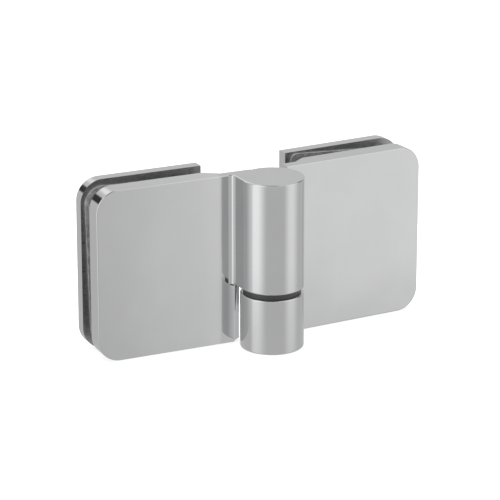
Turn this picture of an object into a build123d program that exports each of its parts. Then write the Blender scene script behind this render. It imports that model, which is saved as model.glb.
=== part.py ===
from build123d import *
import math
import os

os.makedirs("parts", exist_ok=True)

# A glass-to-glass door hinge that rises as it opens. The pivot axis is Z, with the
# origin on it at the bottom face of the barrel. The leaves stand behind the barrel,
# towards +Y: the fixed leaf towards +X and the door leaf towards -X. As stored the door
# leaf rests on the low stop of its cams, a few degrees past the line of the fixed leaf.

# ---- driving dimensions, mm -------------------------------------------------------
HEIGHT = 62.0            # leaves and barrel
BARREL_R = 11.25         # outside of both knuckles
LOWER_TOP = 20.0         # top of the lower knuckle
UPPER_BOTTOM = 22.0      # underside of the upper knuckle
RIM_R = 0.5              # rounding on the knuckles' rims at the gap
TOE_DEG = 3.9            # door leaf past the line, at its low stop

FRONT_Y = 7.7            # front face of the front plates, from the axis
FRONT_T = 6.6            # front plate
SLOT = 7.9               # between front and back plates, at right angles to the glass
BACK_T = 4.8             # back plate
NECK_Y = 11.3            # back of the neck that carries the knuckle
NECK_END_X = 4.0         # where that back slopes down to the barrel
NECK_X0, NECK_X1 = 15.6, 20.2   # ramp from the neck up to the plate's inner face
CORNER_R = 8.2           # outer corners of the plates
EDGE_R = 0.5             # rounding round the front faces
BACK_EDGE_R = 0.6        # rounding round the back faces
DOOR_RELIEF_R = 13.6     # round cut in the door leaf that clears the lower knuckle
FIXED_END_X = 10.4       # inner end of the fixed leaf's front plate, beside the upper knuckle
SIDE_DEG = 3.0           # lean of the knuckle's flat side
SIDE_FILLET = 1.7        # concave fillet between that side and the plate

DOOR_W, FIXED_W = 62.6, 65.2            # axis to the leaf's outer end
DOOR_BACK_X, FIXED_BACK_X = 17.2, 17.8  # axis to the back plate's inner end

GASKET_T = 1.0
GASKET_END = 2.0         # in from the leaf's outer end
GASKET_TOP = 1.3         # in from the leaf's top and bottom, front gaskets
# the back gaskets are cut less squarely: in from the leaf's top at the outer and inner end,
# in from its bottom, and how far the outer end leans, half its whole lean
DOOR_BACK_GASKET = (1.9, 3.9, 1.6, 0.8)
FIXED_BACK_GASKET = (3.7, 0.45, 1.6, 0.0)
GASKET_R = 6.4           # outer corners
GASKET_R_IN = 2.6        # inner corners
GASKET_GROOVE = (1.5, 0.6, 0.3)   # in from the edge, width, depth
GASKET_HOLE_R = 5.7

SCREW_X = 40.0           # clamp screws, from the axis
SCREW_Z = (15.5, 46.5)
SCREW_R = 2.5            # M5 shank
SCREW_HEAD_R = 4.8       # 90 degree countersunk head
SCREW_TIP_Y = 9.3
SCREW_HEX_AF = 3.0
SCREW_HEX_DEEP = 1.9
SLEEVE_R, SLEEVE_BORE_R = 5.0, 2.7

PIN_R = 4.0
PIN_CLEAR = 0.05         # running clearance, radial
PIN_BOTTOM, PIN_TOP = 2.9, 57.0
PIN_HEAD_R, PIN_HEAD_T = 5.5, 1.5
PIN_FLAT = 3.2           # axis to each of the two flats
PIN_FLAT_Z = 36.5        # where the flats start

CAM_BORE_R = 8.0         # lower knuckle
UPPER_BORE_R = 8.3       # upper knuckle
RING_R = 10.2            # the lower cam's flange, seen between the knuckles
RING_GAP = 0.15          # flange to the upper knuckle
CAM_LOW = 24.0           # bottom of the ramps
CAM_RISE_90 = 5.0        # rise for a quarter turn
CAM_GAP = 0.2            # between the two cams' ramps
CAM_PLAY_DEG = 0.8       # between the steps that stop the door at its low stop
UPPER_CAM_TOP = 46.5
KEY_Z = 38.0             # bottom of the upper cam's keyed bore

BUSH_R = 5.5             # upper bush
UPPER_BUSH_Z = (46.5, 56.0)
UPPER_BORE_TOP = 57.8
LOWER_BUSH_R = 6.0
LOWER_BUSH_Z = (5.1, 8.6)
WASHER_Z = (4.5, 5.1)
PLUG_R, PLUG_Z = 7.0, (0.2, 2.2)
PLUG_BORE_TOP = 2.6

GRUB_R = 2.0             # M4
UPPER_GRUB = (60.0, 42.0)     # direction about Z in degrees, height
LOWER_GRUB = (120.0, 13.5)

INNER_Y = FRONT_Y + FRONT_T
BACK_Y = INNER_Y + SLOT
OUTER_Y = BACK_Y + BACK_T


# ---- helpers ------------------------------------------------------------------------
def cyl(r, z0, z1):
    return Pos(0, 0, z0) * Cylinder(r, z1 - z0, align=(Align.CENTER, Align.CENTER, Align.MIN))


def tube(r_out, r_in, z0, z1):
    return cyl(r_out, z0, z1) - cyl(r_in, z0 - 1, z1 + 1)


def y_cyl(x, z, r, y0, y1):
    c = Cylinder(r, y1 - y0, align=(Align.CENTER, Align.CENTER, Align.MIN))
    return Pos(x, y0, z) * Rot(-90, 0, 0) * c


def y_cone(x, z, r0, r1, y0, y1):
    c = Cone(r0, r1, y1 - y0, align=(Align.CENTER, Align.CENTER, Align.MIN))
    return Pos(x, y0, z) * Rot(-90, 0, 0) * c


def prism_y(face_xz, y0, y1):
    # a face drawn on the XZ plane, carried from y0 to y1
    solid = extrude(face_xz, amount=-(y1 - y0))
    low = solid.bounding_box().min.Y
    return Pos(0, y0 - low, 0) * solid


def outline(x_out, x_in, z0, z1, r_out, r_in):
    # rounded outline on XZ: r_out at the two corners at x_out, r_in at the two at x_in
    s = 1.0 if x_in > x_out else -1.0
    k = math.sqrt(0.5)
    p = [
        Line((x_out + s * r_out, 0, z0), (x_in - s * r_in, 0, z0)),
        Line((x_in, 0, z0 + r_in), (x_in, 0, z1 - r_in)),
        Line((x_in - s * r_in, 0, z1), (x_out + s * r_out, 0, z1)),
        Line((x_out, 0, z1 - r_out), (x_out, 0, z0 + r_out)),
        ThreePointArc((x_out, 0, z0 + r_out),
                      (x_out + s * r_out * (1 - k), 0, z0 + r_out * (1 - k)),
                      (x_out + s * r_out, 0, z0)),
        ThreePointArc((x_out + s * r_out, 0, z1),
                      (x_out + s * r_out * (1 - k), 0, z1 - r_out * (1 - k)),
                      (x_out, 0, z1 - r_out)),
    ]
    if r_in > 0:
        p += [
            ThreePointArc((x_in - s * r_in, 0, z0),
                          (x_in - s * r_in * (1 - k), 0, z0 + r_in * (1 - k)),
                          (x_in, 0, z0 + r_in)),
            ThreePointArc((x_in, 0, z1 - r_in),
                          (x_in - s * r_in * (1 - k), 0, z1 - r_in * (1 - k)),
                          (x_in - s * r_in, 0, z1)),
        ]
    return make_face(p)


def rounded(corners):
    # face on XZ from corners (x, z, radius), in order round it
    starts, ends, mids = [], [], []
    count = len(corners)
    for i, (x, z, r) in enumerate(corners):
        px, pz, _ = corners[i - 1]
        nx, nz, _ = corners[(i + 1) % count]
        a = (px - x, pz - z)
        b = (nx - x, nz - z)
        la, lb = math.hypot(*a), math.hypot(*b)
        a = (a[0] / la, a[1] / la)
        b = (b[0] / lb, b[1] / lb)
        half = math.acos(a[0] * b[0] + a[1] * b[1]) / 2
        t = r / math.tan(half)
        m = (a[0] + b[0], a[1] + b[1])
        lm = math.hypot(*m)
        away = r / math.sin(half) - r
        starts.append((x + a[0] * t, 0, z + a[1] * t))
        ends.append((x + b[0] * t, 0, z + b[1] * t))
        mids.append((x + m[0] / lm * away, 0, z + m[1] / lm * away))
    lines = []
    for i in range(count):
        lines.append(ThreePointArc(starts[i], mids[i], ends[i]))
        lines.append(Line(ends[i], starts[(i + 1) % count]))
    return make_face(lines)


def hex_prism(af, z0, z1):
    return Pos(0, 0, z0) * extrude(RegularPolygon(af / 2, 6, major_radius=False), z1 - z0)


# ---- front plates with their knuckles ---------------------------------------------
def flat_at(edge, z):
    b = edge.bounding_box()
    return abs(b.min.Z - z) < 1e-4 and abs(b.max.Z - z) < 1e-4


def is_arc(edge, r):
    return edge.geom_type == GeomType.CIRCLE and abs(edge.radius - r) < 1e-4


def is_neck(edge):
    b = edge.bounding_box()
    return (edge.geom_type == GeomType.LINE and abs(b.min.Y - NECK_Y) < 1e-4
            and abs(b.max.Y - NECK_Y) < 1e-4)


def is_side(edge):
    b = edge.bounding_box()
    return (edge.geom_type == GeomType.LINE and b.min.Y < -0.1 and b.max.Y < FRONT_Y - 1
            and b.max.Y > 1)


def front_plate(s, width, relief, z0, z1, z_gap):
    # s is -1 for a leaf towards -X, +1 towards +X. The knuckle spans z0 to z1, and its
    # rim at z_gap is the one towards the other knuckle. relief is what clears that one.
    plan = Polyline(
        (s * width, FRONT_Y), (0, FRONT_Y), (0, NECK_Y), (s * NECK_X0, NECK_Y),
        (s * NECK_X1, INNER_Y), (s * width, INNER_Y), (s * width, FRONT_Y),
    )
    leaf = extrude(make_face(plan), HEIGHT)
    limits = prism_y(outline(s * width, 0, 0, HEIGHT, CORNER_R, 0), -20, 40)
    leaf = leaf & limits
    leaf = leaf - relief

    # the knuckle: the barrel and its flat side, then the neck with the fillet into the plate
    d = math.radians(SIDE_DEG)
    cy = FRONT_Y - SIDE_FILLET
    cx = (BARREL_R + SIDE_FILLET + math.sin(d) * cy) / math.cos(d)
    tangent = (s * BARREL_R * math.cos(d), -BARREL_R * math.sin(d))
    side_end = (s * (cx - SIDE_FILLET * math.cos(d)), cy - SIDE_FILLET * math.sin(d))
    inner = (0, side_end[1])
    mx, my = -math.cos(d), 1 - math.sin(d)
    m = math.hypot(mx, my)
    mid = (s * (cx + SIDE_FILLET * mx / m), cy + SIDE_FILLET * my / m)
    start = (s * cx, FRONT_Y)
    root_x = s * (NECK_X0 - 0.6)
    neck = extrude(make_face([
        Line(inner, side_end),
        ThreePointArc(side_end, mid, start),
        Line(start, (root_x, FRONT_Y)),
        Line((root_x, FRONT_Y), (root_x, NECK_Y)),
        Line((root_x, NECK_Y), (s * NECK_END_X, NECK_Y)),
        Line((s * NECK_END_X, NECK_Y), (s * (NECK_END_X - 2), NECK_Y - 2)),
        Line((s * (NECK_END_X - 2), NECK_Y - 2), inner),
    ]), z1 - z0)
    behind = (s * math.sqrt(BARREL_R ** 2 - side_end[1] ** 2), side_end[1])
    barrel = Pos(0, 0, z0) * extrude(make_face([
        ThreePointArc(tangent, (-s * BARREL_R, 0), behind),
        Line(behind, side_end),
        Line(side_end, tangent),
    ]), z1 - z0)

    # the rounding on the rim at the gap runs round the barrel and along its flat side
    rim = [e for e in barrel.edges() if flat_at(e, z_gap) and (is_arc(e, BARREL_R) or is_side(e))]
    barrel = fillet(rim, RIM_R)
    return (leaf + Pos(0, 0, z0) * neck + barrel).clean()


def front_outline(part):
    # the edges round the front face, out to the leaf's end
    found = []
    for e in part.edges():
        b = e.bounding_box()
        if abs(b.min.Y - FRONT_Y) < 1e-4 and abs(b.max.Y - FRONT_Y) < 1e-4:
            if abs((b.min.X + b.max.X) / 2) > 20:
                found.append(e)
    return found


def soften(part, z_end):
    # rounding round the front face and the knuckle's far end
    rim = [
        e for e in part.edges()
        if flat_at(e, z_end) and (is_arc(e, BARREL_R) or is_arc(e, SIDE_FILLET)
                                  or is_side(e) or is_neck(e))
    ]
    return fillet(front_outline(part) + rim, EDGE_R)


def back_plate(s, x_out, x_in):
    plate = prism_y(outline(s * x_out, s * x_in, 0, HEIGHT, CORNER_R, 0), BACK_Y, OUTER_Y)
    edges = [
        e for e in plate.edges()
        if abs(e.bounding_box().min.Y - OUTER_Y) < 1e-4 and abs(e.bounding_box().max.Y - OUTER_Y) < 1e-4
    ]
    return fillet(edges, BACK_EDGE_R)


def gasket(s, x_out, x_in, y0, face_y, shape):
    # face_y is the side towards the glass, which has a shallow groove round its border
    top_out, top_in, bottom, lean = shape

    def border(d):
        corners = [
            (s * (x_in + d), bottom + d, GASKET_R_IN - d * 0.6),
            (s * (x_out - lean - d), bottom + d, GASKET_R - d),
            (s * (x_out + lean - d), HEIGHT - top_out - d, GASKET_R - d),
            (s * (x_in + d), HEIGHT - top_in - d, GASKET_R_IN - d * 0.6),
        ]
        return rounded(corners)

    pad = prism_y(border(0), y0, y0 + GASKET_T)
    inset, wide, deep = GASKET_GROOVE
    g0 = face_y - deep if face_y > y0 else face_y
    pad = pad - (prism_y(border(inset), g0, g0 + deep) - prism_y(border(inset + wide), g0, g0 + deep))
    for z in SCREW_Z:
        pad = pad - y_cyl(s * SCREW_X, z, GASKET_HOLE_R, y0 - 1, y0 + GASKET_T + 1)
    return pad


def clamp_screw(s, z):
    x = s * SCREW_X
    cone_t = SCREW_HEAD_R - SCREW_R
    screw = (y_cyl(x, z, SCREW_R - 0.02, SCREW_TIP_Y, OUTER_Y - cone_t)
             + y_cone(x, z, SCREW_R - 0.02, SCREW_HEAD_R, OUTER_Y - cone_t - 0.25, OUTER_Y - 0.25)
             + y_cyl(x, z, SCREW_HEAD_R, OUTER_Y - 0.25, OUTER_Y - 0.05))
    hexagon = Pos(x, OUTER_Y - SCREW_HEX_DEEP, z) * Rot(-90, 0, 0) * hex_prism(SCREW_HEX_AF, 0, 4)
    return screw - hexagon


def screw_hole(s, z):
    x = s * SCREW_X
    r = SCREW_HEAD_R + 0.12
    return (y_cyl(x, z, SCREW_R + 0.3, BACK_Y - 1, OUTER_Y + 1)
            + y_cone(x, z, 0.5, r, OUTER_Y - 0.3 - (r - 0.5), OUTER_Y - 0.3)
            + y_cyl(x, z, r, OUTER_Y - 0.3, OUTER_Y + 1))


def sleeve(s, z):
    x = s * SCREW_X
    return (y_cyl(x, z, SLEEVE_R, INNER_Y + 0.05, BACK_Y - 0.05)
            - y_cyl(x, z, SLEEVE_BORE_R, INNER_Y - 1, BACK_Y + 1))


def grub_hole(place, r, r0, r1):
    angle, z = place
    c = Cylinder(r, r1 - r0, align=(Align.CENTER, Align.CENTER, Align.MIN))
    return Rot(0, 0, angle) * Pos(r0, 0, z) * Rot(0, 90, 0) * c


def grub_screw(place, bore_r):
    angle, z = place
    body = Pos(0, 0, bore_r + 0.15) * Cylinder(GRUB_R - 0.02, BARREL_R - 0.7 - bore_r - 0.15,
                                               align=(Align.CENTER, Align.CENTER, Align.MIN))
    body = body + Pos(0, 0, bore_r - 0.85) * Cylinder(1.2, 1.2, align=(Align.CENTER, Align.CENTER, Align.MIN))
    body = body - hex_prism(2.0, BARREL_R - 0.7 - 1.3, BARREL_R)
    return Rot(0, 0, angle) * Pos(0, 0, z) * Rot(0, 90, 0) * body


# ---- cams -------------------------------------------------------------------------
LEAD = CAM_RISE_90 * 4             # rise in a full turn
HALF_RISE = LEAD / 2               # height of each of the two ramps


def ramp(r_in, r_out, z0, deep, up):
    # two half-turn helical wedges: the space over (up) or under a pair of ramps that
    # start at z0 and climb to z0 + HALF_RISE
    wedges = []
    for turn in (0, 180):
        if up:
            lo, hi = 0.0, deep
        else:
            lo, hi = -deep, 0.0
        face = make_face(Polyline((r_in, 0, z0 + lo), (r_out, 0, z0 + lo), (r_out, 0, z0 + hi),
                                  (r_in, 0, z0 + hi), (r_in, 0, z0 + lo)))
        path = Pos(0, 0, z0) * Helix(pitch=LEAD, height=HALF_RISE, radius=(r_in + r_out) / 2)
        wedges.append(Rot(0, 0, turn) * sweep(sections=face, path=path, is_frenet=True))
    return wedges


def under_ramps(r_in, r_out, z0, z_low):
    # material below a pair of ramps, down to z_low
    body = tube(r_out, r_in, z_low, z0 + HALF_RISE)
    for wedge in ramp(r_in - 0.5, r_out + 0.5, z0, HALF_RISE + 1, True):
        body = body - wedge
    return body


def over_ramps(r_in, r_out, z0, z_top):
    # material above a pair of ramps, up to z_top
    body = tube(r_out, r_in, z0, z_top)
    for wedge in ramp(r_in - 0.5, r_out + 0.5, z0, HALF_RISE + 1, False):
        body = body - wedge
    return body


def build():
    parts = {}

    # fixed leaf
    relief = Pos(FIXED_END_X - 20, 10, HEIGHT / 2) * Box(40, 60, HEIGHT + 2)
    front = soften(front_plate(1, FIXED_W, relief, 0, LOWER_TOP, LOWER_TOP), 0)
    front = front - cyl(CAM_BORE_R, LOWER_BUSH_Z[1], LOWER_TOP + 1)
    front = front - cyl(LOWER_BUSH_R, PLUG_BORE_TOP - 0.1, LOWER_BUSH_Z[1] + 0.1)
    front = front - cyl(PLUG_R, -1, PLUG_BORE_TOP)
    front = front - grub_hole(LOWER_GRUB, GRUB_R, CAM_BORE_R - 0.5, BARREL_R + 1)
    for z in SCREW_Z:
        front = front - y_cyl(SCREW_X, z, SCREW_R, SCREW_TIP_Y - 0.3, INNER_Y + 1)
    parts["fixed_front_plate"] = front

    # door leaf, built in line with the fixed leaf and turned to its low stop at the end
    relief = cyl(DOOR_RELIEF_R, -1, HEIGHT + 1)
    door = soften(front_plate(-1, DOOR_W, relief, UPPER_BOTTOM, HEIGHT, UPPER_BOTTOM), HEIGHT)
    door = door - cyl(UPPER_BORE_R, UPPER_BOTTOM - 1, UPPER_CAM_TOP)
    door = door - cyl(BUSH_R, UPPER_CAM_TOP - 0.1, UPPER_BORE_TOP)
    door = door - grub_hole(UPPER_GRUB, GRUB_R, UPPER_BORE_R - 0.5, BARREL_R + 1)
    for z in SCREW_Z:
        door = door - y_cyl(-SCREW_X, z, SCREW_R, SCREW_TIP_Y - 0.3, INNER_Y + 1)
    turned = {"door_front_plate": door}

    for leaf, s, width, back_x, store in (
        ("fixed", 1, FIXED_W, FIXED_BACK_X, parts),
        ("door", -1, DOOR_W, DOOR_BACK_X, turned),
    ):
        plate = back_plate(s, width, back_x)
        for z in SCREW_Z:
            plate = plate - screw_hole(s, z)
        store[leaf + "_back_plate"] = plate
        end = width - GASKET_END
        if leaf == "door":
            front_in, back_in, shape = back_x + 3.0, back_x + 3.0, DOOR_BACK_GASKET
        else:
            front_in, back_in, shape = NECK_X1 + 0.8, back_x + 1.8, FIXED_BACK_GASKET
        store[leaf + "_front_gasket"] = gasket(s, end, front_in, INNER_Y, INNER_Y + GASKET_T,
                                                (GASKET_TOP, GASKET_TOP, GASKET_TOP, 0.0))
        store[leaf + "_back_gasket"] = gasket(s, end, back_in, BACK_Y - GASKET_T, BACK_Y - GASKET_T, shape)
        for name, z in zip(("lower", "upper"), SCREW_Z):
            store[leaf + "_clamp_screw_" + name] = clamp_screw(s, z)
            store[leaf + "_screw_sleeve_" + name] = sleeve(s, z)

    # the lower cam: its body in the lower knuckle, its flange in the gap, its ramps above
    bore = PIN_R + PIN_CLEAR
    cam_r = CAM_BORE_R - 0.02
    cam = tube(cam_r, bore, LOWER_BUSH_Z[1], LOWER_TOP + 0.1)
    cam = cam + tube(RING_R, bore, LOWER_TOP, UPPER_BOTTOM - RING_GAP)
    ramps = under_ramps(bore, cam_r, CAM_LOW, UPPER_BOTTOM - RING_GAP - 0.1)
    cam = cam + Rot(0, 0, -TOE_DEG - CAM_PLAY_DEG) * ramps
    cam = cam - grub_hole(LOWER_GRUB, 1.25, CAM_BORE_R - 0.9, CAM_BORE_R + 1)
    parts["lower_cam"] = cam

    # the upper cam: ramps below, and a bore keyed to the pin's flats above
    cam_r = UPPER_BORE_R - 0.02
    cam = over_ramps(PIN_R + 0.3, cam_r, CAM_LOW + CAM_GAP, UPPER_CAM_TOP)
    key = tube(cam_r, bore, KEY_Z, UPPER_CAM_TOP)
    flats = Pos(0, 0, (KEY_Z + UPPER_CAM_TOP) / 2) * (
        Pos(PIN_FLAT + PIN_CLEAR + 3, 0, 0) * Box(6, 16, UPPER_CAM_TOP - KEY_Z)
        + Pos(-PIN_FLAT - PIN_CLEAR - 3, 0, 0) * Box(6, 16, UPPER_CAM_TOP - KEY_Z)
    )
    cam = cam + key + (flats & cyl(cam_r - 1, KEY_Z, UPPER_CAM_TOP))
    cam = cam - grub_hole(UPPER_GRUB, 1.25, UPPER_BORE_R - 0.9, UPPER_BORE_R + 1)
    turned["upper_cam"] = cam
    turned["upper_bush"] = tube(BUSH_R - 0.02, bore, UPPER_BUSH_Z[0], UPPER_BUSH_Z[1])

    parts["lower_bush"] = tube(LOWER_BUSH_R - 0.02, bore, LOWER_BUSH_Z[0], LOWER_BUSH_Z[1])
    parts["thrust_washer"] = tube(LOWER_BUSH_R - 0.1, PIN_R + 0.15, WASHER_Z[0], WASHER_Z[1])
    plug = cyl(PLUG_R - 0.02, PLUG_Z[0], PLUG_Z[1])
    plug = chamfer(plug.edges().group_by(Axis.Z)[0], 0.3)
    parts["bottom_plug"] = plug - hex_prism(6.0, -1, PLUG_Z[0] + 1.3)

    parts["lower_grub_screw"] = grub_screw(LOWER_GRUB, CAM_BORE_R)
    turned["upper_grub_screw"] = grub_screw(UPPER_GRUB, UPPER_BORE_R)

    # the pin turns with the door and is held down by its head
    pin = cyl(PIN_R, PIN_BOTTOM, PIN_TOP)
    pin = chamfer(pin.edges().group_by(Axis.Z)[-1], 0.5)
    long = PIN_TOP - PIN_FLAT_Z + 1
    for s in (-1, 1):
        pin = pin - Pos(s * (PIN_FLAT + 3), 0, PIN_FLAT_Z + long / 2) * Box(6, 16, long)
    turned["hinge_pin"] = pin + cyl(PIN_HEAD_R, PIN_BOTTOM, PIN_BOTTOM + PIN_HEAD_T)

    for name, shape in turned.items():
        parts[name] = Rot(0, 0, -TOE_DEG) * shape
    return parts


for name, shape in sorted(build().items()):
    export_step(shape, "parts/" + name + ".step")
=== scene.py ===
import math

import bpy
from mathutils import Matrix, Vector

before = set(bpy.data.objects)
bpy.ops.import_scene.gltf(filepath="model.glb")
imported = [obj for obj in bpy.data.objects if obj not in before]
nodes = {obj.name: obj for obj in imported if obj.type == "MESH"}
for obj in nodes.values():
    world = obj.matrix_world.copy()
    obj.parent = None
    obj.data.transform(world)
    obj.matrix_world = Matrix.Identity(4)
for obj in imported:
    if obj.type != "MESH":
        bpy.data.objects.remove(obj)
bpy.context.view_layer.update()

scene = bpy.context.scene


# ---- node helpers -------------------------------------------------------------------
class Tree:
    """A material's node tree, with short calls for the nodes that this scene uses."""

    def __init__(self, name):
        self.mat = bpy.data.materials.new(name)
        self.mat.use_nodes = True
        self.t = self.mat.node_tree
        self.t.nodes.clear()
        self.out = self.t.nodes.new("ShaderNodeOutputMaterial")
        self.bsdf = self.t.nodes.new("ShaderNodeBsdfPrincipled")
        self.link(self.bsdf.outputs[0], self.out.inputs[0])
        self.coord = self.t.nodes.new("ShaderNodeTexCoord").outputs["Object"]

    def link(self, a, b):
        self.t.links.new(a, b)

    def set(self, **values):
        for name, v in values.items():
            self.bsdf.inputs[name.replace("_", " ")].default_value = v

    def feed(self, socket, value):
        if isinstance(value, bpy.types.NodeSocket):
            self.link(value, socket)
        else:
            socket.default_value = value

    def scaled(self, s, rot=(0, 0, 0), loc=(0, 0, 0)):
        n = self.t.nodes.new("ShaderNodeMapping")
        n.inputs["Scale"].default_value = s if hasattr(s, "__len__") else (s, s, s)
        n.inputs["Rotation"].default_value = rot
        n.inputs["Location"].default_value = loc
        self.link(self.coord, n.inputs["Vector"])
        return n.outputs[0]

    def noise(self, vector, scale, detail=2.0, rough=0.5, distortion=0.0):
        n = self.t.nodes.new("ShaderNodeTexNoise")
        n.inputs["Scale"].default_value = scale
        n.inputs["Detail"].default_value = detail
        n.inputs["Roughness"].default_value = rough
        n.inputs["Distortion"].default_value = distortion
        self.link(vector, n.inputs["Vector"])
        return n.outputs["Fac"]

    def cells(self, vector, scale, feature="F1", out="Distance"):
        n = self.t.nodes.new("ShaderNodeTexVoronoi")
        n.feature = feature
        n.inputs["Scale"].default_value = scale
        self.link(vector, n.inputs["Vector"])
        return n.outputs[out]

    def rng(self, value, a, b, lo, hi, smooth=False):
        n = self.t.nodes.new("ShaderNodeMapRange")
        n.interpolation_type = "SMOOTHSTEP" if smooth else "LINEAR"
        n.inputs["From Min"].default_value = a
        n.inputs["From Max"].default_value = b
        n.inputs["To Min"].default_value = lo
        n.inputs["To Max"].default_value = hi
        self.link(value, n.inputs["Value"])
        return n.outputs[0]

    def math(self, op, a, b=0.0):
        n = self.t.nodes.new("ShaderNodeMath")
        n.operation = op
        self.feed(n.inputs[0], a)
        self.feed(n.inputs[1], b)
        return n.outputs[0]

    def ramp(self, value, stops):
        n = self.t.nodes.new("ShaderNodeValToRGB")
        e = n.color_ramp.elements
        while len(e) > 1:
            e.remove(e[-1])
        for i, (pos, col) in enumerate(stops):
            c = (col, col, col, 1) if not hasattr(col, "__len__") else (*col, 1)
            if i == 0:
                e[0].position, e[0].color = pos, c
            else:
                e.new(pos).color = c
        self.link(value, n.inputs[0])
        return n.outputs[0]

    def bump(self, height, strength, distance, normal=None):
        n = self.t.nodes.new("ShaderNodeBump")
        n.inputs["Strength"].default_value = strength
        n.inputs["Distance"].default_value = distance
        self.link(height, n.inputs["Height"])
        if normal is not None:
            self.link(normal, n.inputs["Normal"])
        return n.outputs[0]


def use(material, *names):
    for n in names:
        me = nodes[n].data
        me.materials.clear()
        me.materials.append(material)
        for p in me.polygons:
            p.material_index = 0


# ---- materials ----------------------------------------------------------------------
def chrome(name, along=(1, 1, 1), inner=None, painted_sheen_by_x=None):
    """Polished chrome plate: mirror-bright, with faint polishing lines, slight waviness of
    the casting under it and a little haze that comes and goes. inner is (turn in degrees,
    lowest and highest y in m) of the faces towards the glass: rougher as cast, with painted shade
    darkening them.
    The last argument lists (x in m, factor) for painted sheen: colour brighter in some places."""
    t = Tree(name)
    lines = t.noise(t.scaled(along), 900, 3.0, 0.6)
    haze = t.noise(t.scaled(1), 55, 3.0, 0.55)
    wave = t.noise(t.scaled(1), 38, 1.0, 0.4)
    shade = t.ramp(haze, [(0.3, (0.625, 0.627, 0.632)), (0.7, (0.655, 0.656, 0.660))])
    t.set(Metallic=1.0)
    rough = t.math("ADD", t.rng(haze, 0.3, 0.75, 0.035, 0.075), t.rng(lines, 0.35, 0.8, 0.0, 0.03))
    # faces towards the glass: roughness raised for the as-cast plating, and colour darkened to
    # about 0.33-0.45 as painted shade in the slot
    if inner is not None:
        turn, low, high = inner
        split = t.t.nodes.new("ShaderNodeSeparateXYZ")
        t.link(t.scaled(1, (0, 0, math.radians(turn))), split.inputs[0])
        inside = t.math("MULTIPLY", t.math("GREATER_THAN", split.outputs[1], low),
                        t.math("LESS_THAN", split.outputs[1], high))
        cast = t.noise(t.scaled((0.4, 1, 1)), 1300, 3.0, 0.6)
        rough = t.math("ADD", rough, t.math("MULTIPLY", inside, t.rng(cast, 0.3, 0.7, 0.20, 0.36)))
        dull_and_painted_shade = t.ramp(cast, [(0.3, (0.33, 0.33, 0.335)), (0.7, (0.45, 0.45, 0.455))])
        both = t.t.nodes.new("ShaderNodeMix")
        both.data_type = "RGBA"
        t.link(inside, both.inputs[0])
        t.link(shade, both.inputs[6])
        t.link(dull_and_painted_shade, both.inputs[7])
        shade = both.outputs[2]
    # painted sheen: the colour is scaled along x, brighter where the plate's reflections should
    # read brighter
    if painted_sheen_by_x is not None:
        split = t.t.nodes.new("ShaderNodeSeparateXYZ")
        t.link(t.coord, split.inputs[0])
        lo, hi = painted_sheen_by_x[0][0], painted_sheen_by_x[-1][0]
        where = t.rng(split.outputs[0], lo, hi, 0.0, 1.0)
        painted_sheen_level = t.ramp(where, [((px - lo) / (hi - lo), f / 1.2) for px, f in painted_sheen_by_x])
        painted_sheen_gain = t.t.nodes.new("ShaderNodeVectorMath")
        painted_sheen_gain.operation = "SCALE"
        t.link(shade, painted_sheen_gain.inputs[0])
        t.link(t.math("MULTIPLY", painted_sheen_level, 1.2), painted_sheen_gain.inputs["Scale"])
        shade = painted_sheen_gain.outputs[0]
    t.link(shade, t.bsdf.inputs["Base Color"])
    t.link(rough, t.bsdf.inputs["Roughness"])
    b = t.bump(wave, 0.20, 0.0004)
    t.link(t.bump(lines, 0.05, 0.00004, b), t.bsdf.inputs["Normal"])
    return t.mat


def rubber():
    t = Tree("gasket_fibre_rubber")
    fibre = t.noise(t.scaled((1, 1, 0.35)), 1500, 3.0, 0.7, 0.6)
    grain = t.cells(t.scaled(1), 1900)
    blotch = t.noise(t.scaled(1), 160, 2.0)
    mix = t.math("ADD", t.math("MULTIPLY", fibre, 0.7), t.math("MULTIPLY", blotch, 0.3))
    t.link(t.ramp(mix, [(0.30, (0.13, 0.13, 0.132)), (0.52, (0.27, 0.27, 0.273)),
                        (0.70, (0.50, 0.50, 0.50))]), t.bsdf.inputs["Base Color"])
    t.link(t.rng(fibre, 0.3, 0.7, 0.62, 0.9), t.bsdf.inputs["Roughness"])
    b = t.bump(fibre, 0.5, 0.00012)
    t.link(t.bump(grain, 0.3, 0.00006, b), t.bsdf.inputs["Normal"])
    return t.mat


def plastic(name, dark, light, rough, speck=700):
    t = Tree(name)
    cloud = t.noise(t.scaled(1), 130, 3.0)
    grain = t.noise(t.scaled(1), speck, 3.0, 0.6)
    t.link(t.ramp(cloud, [(0.3, dark), (0.7, light)]), t.bsdf.inputs["Base Color"])
    t.link(t.rng(grain, 0.3, 0.7, rough[0], rough[1]), t.bsdf.inputs["Roughness"])
    t.link(t.bump(grain, 0.25, 0.00004), t.bsdf.inputs["Normal"])
    return t.mat


def turned(name, dark, light, axis, rough=(0.22, 0.38)):
    """Turned or ground metal: fine rings round the piece's own axis."""
    t = Tree(name)
    rings = t.noise(t.scaled(axis), 260, 4.0, 0.65)
    cloud = t.noise(t.scaled(1), 120, 2.0)
    t.link(t.ramp(cloud, [(0.3, dark), (0.7, light)]), t.bsdf.inputs["Base Color"])
    t.set(Metallic=1.0)
    t.link(t.rng(rings, 0.3, 0.7, rough[0], rough[1]), t.bsdf.inputs["Roughness"])
    t.link(t.bump(rings, 0.25, 0.00005), t.bsdf.inputs["Normal"])
    return t.mat


CHROME_BODY = chrome("chrome_polished", (1.0, 1.0, 0.05))
# door front plate: colour scaled along x, a painted sheen
CHROME_DOOR = chrome("chrome_polished_door", (1.0, 1.0, 0.05), None, [
    (-0.0625, 0.985), (-0.0543, 1.0), (-0.0393, 1.07), (-0.0236, 1.10), (-0.0185, 1.14),
    (-0.0163, 1.14), (-0.0153, 1.0), (-0.0110, 1.0)])
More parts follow.
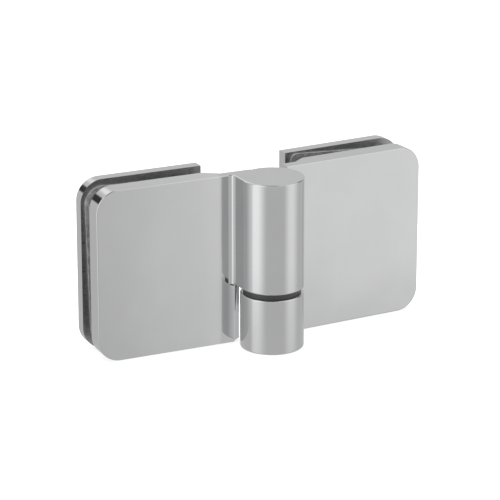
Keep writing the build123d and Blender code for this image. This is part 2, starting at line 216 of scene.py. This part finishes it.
# back plates: faces towards the glass darkened, painted shade in the slot
CHROME_BACK = chrome("chrome_polished_back", (1.0, 1.0, 0.05), (0.0, 0.0221, 0.02225))
CHROME_DOOR_BACK = chrome("chrome_polished_door_back", (1.0, 1.0, 0.05), (3.9, 0.0221, 0.02225))
RUBBER = rubber()
BLACK = plastic("acetal_black", (0.032, 0.032, 0.033), (0.050, 0.050, 0.051), (0.30, 0.45))
WHITE = plastic("acetal_natural", (0.78, 0.77, 0.73), (0.84, 0.83, 0.80), (0.35, 0.5))
NYLON = plastic("nylon_natural", (0.70, 0.69, 0.64), (0.78, 0.77, 0.73), (0.4, 0.55))
STAINLESS = turned("stainless_screw", (0.50, 0.50, 0.51), (0.60, 0.60, 0.61), (1, 1, 1))
STEEL = turned("steel_ground", (0.46, 0.46, 0.47), (0.56, 0.56, 0.57), (0.1, 0.1, 1))
BRONZE = turned("bronze_sintered", (0.42, 0.26, 0.12), (0.58, 0.40, 0.20), (1, 1, 1), (0.4, 0.6))

use(CHROME_BODY, "fixed_front_plate", "bottom_plug")
use(CHROME_DOOR, "door_front_plate")
use(CHROME_BACK, "fixed_back_plate")
use(CHROME_DOOR_BACK, "door_back_plate")
use(RUBBER, "door_front_gasket", "door_back_gasket", "fixed_front_gasket", "fixed_back_gasket")
use(BLACK, "lower_cam")
use(WHITE, "upper_cam", "upper_bush")
use(NYLON, "door_screw_sleeve_lower", "door_screw_sleeve_upper",
    "fixed_screw_sleeve_lower", "fixed_screw_sleeve_upper")
use(STAINLESS, "door_clamp_screw_lower", "door_clamp_screw_upper",
    "fixed_clamp_screw_lower", "fixed_clamp_screw_upper")
use(STEEL, "hinge_pin", "thrust_washer", "lower_grub_screw", "upper_grub_screw")
use(BRONZE, "lower_bush")


# ---- camera -------------------------------------------------------------------------
AZ, EL = math.radians(-29.087), math.radians(18.575)
DIST = 0.95734
FOCAL_PX = 2739.39
right = Vector((math.cos(AZ), math.sin(AZ), 0))
back = Vector((math.sin(AZ) * math.cos(EL), -math.cos(AZ) * math.cos(EL), math.sin(EL)))
up = back.cross(right)
place = (Vector((0, 0, 0.031)) + back * DIST
         - right * (22.132 * DIST / FOCAL_PX) + up * (11.100 * DIST / FOCAL_PX))
cam_data = bpy.data.cameras.new("camera")
cam_data.sensor_width = 36.0
cam_data.lens = FOCAL_PX * 36.0 / 500
cam_data.clip_start = 0.01
cam_data.clip_end = 50
cam = bpy.data.objects.new("camera", cam_data)
cam.matrix_world = Matrix.Translation(place) @ Matrix((right, up, back)).transposed().to_4x4()
scene.collection.objects.link(cam)
scene.camera = cam


# ---- floor --------------------------------------------------------------------------
def plane(name, size, z):
    me = bpy.data.meshes.new(name)
    h = size / 2
    me.from_pydata([(-h, -h, z), (h, -h, z), (h, h, z), (-h, h, z)], [], [(0, 1, 2, 3)])
    o = bpy.data.objects.new(name, me)
    scene.collection.objects.link(o)
    return o


floor = plane("floor", 14.0, -0.0002)
t = Tree("floor_paper")
grain = t.noise(t.scaled(1), 420, 3.0)
t.link(t.ramp(grain, [(0.3, 0.49), (0.7, 0.52)]), t.bsdf.inputs["Base Color"])
t.link(t.rng(grain, 0.3, 0.7, 0.85, 0.95), t.bsdf.inputs["Roughness"])
t.set(Specular_IOR_Level=0.0, Emission_Color=(1, 1, 1, 1), Emission_Strength=0.72)
floor.data.materials.append(t.mat)
floor.visible_glossy = False


# ---- light --------------------------------------------------------------------------
world = bpy.data.worlds.new("light_tent")
scene.world = world
world.use_nodes = True
w = world.node_tree
w.nodes.clear()


def wn(kind, **props):
    n = w.nodes.new(kind)
    for k, v in props.items():
        setattr(n, k, v)
    return n


def wmath(op, *args):
    n = wn("ShaderNodeMath", operation=op)
    for s, v in zip(n.inputs, args):
        if isinstance(v, bpy.types.NodeSocket):
            w.links.new(v, s)
        else:
            s.default_value = v
    return n.outputs[0]


def wrange(v, a, b, lo, hi):
    n = wn("ShaderNodeMapRange", interpolation_type="SMOOTHSTEP")
    for k, x in (("From Min", a), ("From Max", b), ("To Min", lo), ("To Max", hi)):
        n.inputs[k].default_value = x
    w.links.new(v, n.inputs["Value"])
    return n.outputs[0]


coord = wn("ShaderNodeTexCoord").outputs["Generated"]
xyz = wn("ShaderNodeSeparateXYZ")
w.links.new(coord, xyz.inputs[0])
x, y, z = xyz.outputs
# azimuth in degrees, 0 towards -Y and 90 towards +X, and height in degrees
azimuth = wmath("MULTIPLY", wmath("ARCTAN2", x, wmath("MULTIPLY", y, -1.0)), 180 / math.pi)
height = wmath("MULTIPLY", wmath("ARCSINE", z), 180 / math.pi)


def softbox(rise, full, fall, strength, high):
    """A tall soft light: grows from azimuth rise to full[0], even to full[1], gone at fall.
    It stops just below the level that the upright faces see."""
    left = wrange(azimuth, rise, full[0], 0.0, strength)
    right = wrange(azimuth, full[1], fall, 1.0, 0.0)
    tall = wmath("MULTIPLY", wrange(height, high, high + 30, 1.0, 0.0),
                 wrange(height, -21.4, -18.2, 0.35, 1.0))
    return wmath("MULTIPLY", wmath("MULTIPLY", left, right), tall)


def away(centre, width):
    """How far round a direction is from one azimuth, over a half-width: 1 at the edge."""
    wrapped = wmath("WRAP", azimuth, centre + 180.0, centre - 180.0)
    return wmath("DIVIDE", wmath("ABSOLUTE", wmath("SUBTRACT", wrapped, centre)), width)


def panel(centre, width, low, high, edge=0.12):
    """1 inside a patch of the tent round an azimuth and between two heights, else 0."""
    up_off = wmath("ABSOLUTE", wmath("SUBTRACT", height, (low + high) / 2))
    a = wrange(away(centre, width), 1 - edge, 1 + edge, 1.0, 0.0)
    b = wrange(wmath("DIVIDE", up_off, (high - low) / 2), 1 - edge, 1 + edge, 1.0, 0.0)
    return wmath("MULTIPLY", a, b)


def disc(az, el, radius, soft):
    """1 within an angle of one direction, falling to 0 over the next few degrees."""
    az, el = math.radians(az), math.radians(el)
    c = (math.sin(az) * math.cos(el), -math.cos(az) * math.cos(el), math.sin(el))
    n = wn("ShaderNodeVectorMath", operation="DOT_PRODUCT")
    w.links.new(coord, n.inputs[0])
    n.inputs[1].default_value = c
    angle = wmath("MULTIPLY", wmath("ARCCOSINE", n.outputs["Value"]), 180 / math.pi)
    return wrange(angle, radius, radius + soft, 1.0, 0.0)


tent = wrange(height, -60, 60, 0.565, 0.74)
total = wmath("ADD", tent, softbox(-117, (-97, -86), -45, 0.60, 40))
total = wmath("ADD", total, softbox(9, (39, 46), 83, 0.38, 40))
# a bright sheet high behind, and the dark places round the tent: its opening behind on the
# left, the opening overhead that the camera looks under, and a stand on the right
total = wmath("ADD", total, wmath("MULTIPLY", panel(-178, 27, 27, 50), 0.46))
for dark in (panel(-158, 9, 8, 22, 0.3), disc(-45, 72, 19, 4), panel(97, 16, 14, 38)):
    total = wmath("MULTIPLY", total, wmath("SUBTRACT", 1.0, wmath("MULTIPLY", dark, 0.93)))
bg = wn("ShaderNodeBackground")
w.links.new(total, bg.inputs["Color"])
bg.inputs["Strength"].default_value = 1.0
wout = wn("ShaderNodeOutputWorld")
w.links.new(bg.outputs[0], wout.inputs[0])


def area(name, place, target, size, power):
    d = bpy.data.lights.new(name, "AREA")
    d.shape = "RECTANGLE"
    d.size, d.size_y = size
    d.energy = power
    o = bpy.data.objects.new(name, d)
    o.location = place
    o.rotation_euler = (Vector(target) - Vector(place)).to_track_quat("-Z", "Y").to_euler()
    scene.collection.objects.link(o)
    return o


top = area("top_light", (0.0, 0.1, 1.5), (0, 0, 0), (1.6, 1.6), 25.0)
top.visible_glossy = False

scene.view_settings.view_transform = "Standard"
scene.view_settings.look = "None"
scene.cycles.use_denoising = True
